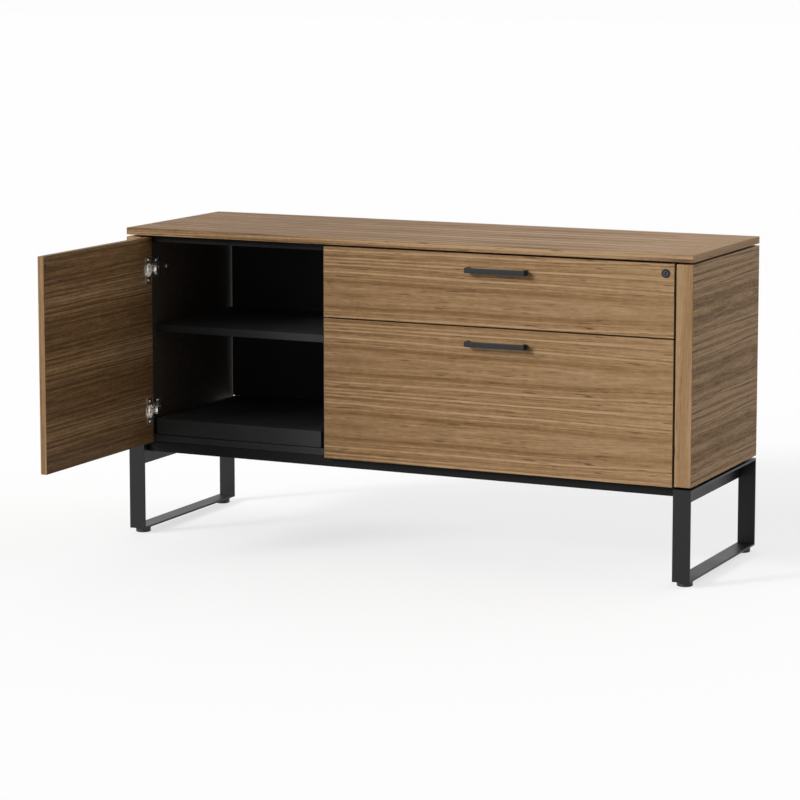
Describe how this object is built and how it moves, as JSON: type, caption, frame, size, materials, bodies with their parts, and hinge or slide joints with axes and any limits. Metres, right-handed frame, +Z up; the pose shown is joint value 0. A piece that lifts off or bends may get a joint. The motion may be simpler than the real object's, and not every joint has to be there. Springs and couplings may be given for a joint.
{
  "type": "storage cabinet",
  "caption": "Low walnut storage cabinet on black steel end frames, with a hinged door over a shelf and a pull-out tray beside a lockable drawer and a file drawer.",
  "frame": {"origin": "on the floor, under the middle of the whole object with its door open at a right angle; the front faces of the closed drawers lie at y = 0.0045 m", "axes": "+X to the right as seen from the front, +Y from the front to the back, +Z up"},
  "size_m": [1.43, 0.915, 0.741],
  "materials": {
    "walnut_veneer": "satin walnut veneer on board, grain horizontal on the fronts",
    "black_laminate": "matt black laminate on board",
    "graphite_board": "dark graphite board, matt",
    "black_powder_coat": "fine satin black powder coat on steel",
    "blued_black_steel": "satin blue-black painted steel",
    "bright_nickel": "nickel plate",
    "zinc_plate": "bright zinc plate",
    "black_plastic": "moulded black plastic"
  },
  "bodies": {
    "cabinet": {"top_panel": "walnut_veneer", "side_panel_left": "walnut_veneer", "side_panel_right": "walnut_veneer", "sub_top": "black_laminate", "bottom_panel": "black_laminate", "divider_panel": "black_laminate", "back_panel_left": "black_laminate", "back_panel_right": "black_laminate", "adjustable_shelf": "black_laminate", "end_frame_left": "black_powder_coat", "end_frame_right": "black_powder_coat", "front_rail": "black_powder_coat", "rear_rail": "black_powder_coat", "foot_front_left": "black_plastic", "foot_front_right": "black_plastic", "foot_rear_left": "black_plastic", "foot_rear_right": "black_plastic", "hinge_arm_upper": "bright_nickel", "hinge_arm_lower": "bright_nickel", "tray_slide_left_outer": "zinc_plate", "tray_slide_right_outer": "zinc_plate", "lock_strike": "zinc_plate", "upper_drawer_slide_left_outer": "zinc_plate", "upper_drawer_slide_right_outer": "zinc_plate", "lower_drawer_slide_left_outer": "zinc_plate", "lower_drawer_slide_right_outer": "zinc_plate"},
    "door": {"door_panel": "walnut_veneer", "door_handle": "blued_black_steel", "hinge_cup_upper": "bright_nickel", "hinge_cup_lower": "bright_nickel", "hinge_pin_upper": "bright_nickel", "hinge_pin_lower": "bright_nickel"},
    "tray": {"tray_lip": "black_laminate", "tray_board": "black_laminate", "tray_slide_left_inner": "zinc_plate", "tray_slide_right_inner": "zinc_plate"},
    "upper_drawer": {"upper_drawer_front": "walnut_veneer", "upper_drawer_handle": "blued_black_steel", "upper_drawer_side_left": "graphite_board", "upper_drawer_side_right": "graphite_board", "upper_drawer_back": "graphite_board", "upper_drawer_bottom": "graphite_board", "upper_drawer_slide_left_inner": "zinc_plate", "upper_drawer_slide_right_inner": "zinc_plate", "lock_housing": "black_powder_coat"},
    "upper_slide_middle": {"upper_drawer_slide_left_middle": "zinc_plate", "upper_drawer_slide_right_middle": "zinc_plate"},
    "lower_drawer": {"lower_drawer_front": "walnut_veneer", "lower_drawer_handle": "blued_black_steel", "lower_drawer_side_left": "graphite_board", "lower_drawer_side_right": "graphite_board", "lower_drawer_back": "graphite_board", "lower_drawer_bottom": "graphite_board", "lower_drawer_slide_left_inner": "zinc_plate", "lower_drawer_slide_right_inner": "zinc_plate", "hanging_file_frame": "zinc_plate"},
    "lower_slide_middle": {"lower_drawer_slide_left_middle": "zinc_plate", "lower_drawer_slide_right_middle": "zinc_plate"},
    "lock_core": {"lock_plug": "black_powder_coat", "lock_cam": "zinc_plate"}
  },
  "joints": [
    {"name": "door_hinge", "type": "hinge", "parent": "cabinet", "child": "door", "pos_m": [-0.6633, 0.013, 0.47185], "axis": [0, 0, -1], "range_deg": [-90, 10]},
    {"name": "tray_slide", "type": "slide", "parent": "cabinet", "child": "tray", "axis": [0, -1, 0], "range_m": [0, 0.29]},
    {"name": "upper_drawer_slide", "type": "slide", "parent": "cabinet", "child": "upper_drawer", "axis": [0, -1, 0], "range_m": [0, 0.4]},
    {"name": "upper_slide_middle_run", "type": "slide", "parent": "cabinet", "child": "upper_slide_middle", "axis": [0, -1, 0], "range_m": [0, 0.2]},
    {"name": "lower_drawer_slide", "type": "slide", "parent": "cabinet", "child": "lower_drawer", "axis": [0, -1, 0], "range_m": [0, 0.4]},
    {"name": "lower_slide_middle_run", "type": "slide", "parent": "cabinet", "child": "lower_slide_middle", "axis": [0, -1, 0], "range_m": [0, 0.2]},
    {"name": "lock_turn", "type": "hinge", "parent": "upper_drawer", "child": "lock_core", "pos_m": [0.6514, 0.0045, 0.6988], "axis": [0, -1, 0], "range_deg": [0, 90]}
  ],
  "couplings": [
    {"joint": "upper_slide_middle_run", "follows": "upper_drawer_slide", "ratio": 0.5},
    {"joint": "lower_slide_middle_run", "follows": "lower_drawer_slide", "ratio": 0.5}
  ]
}
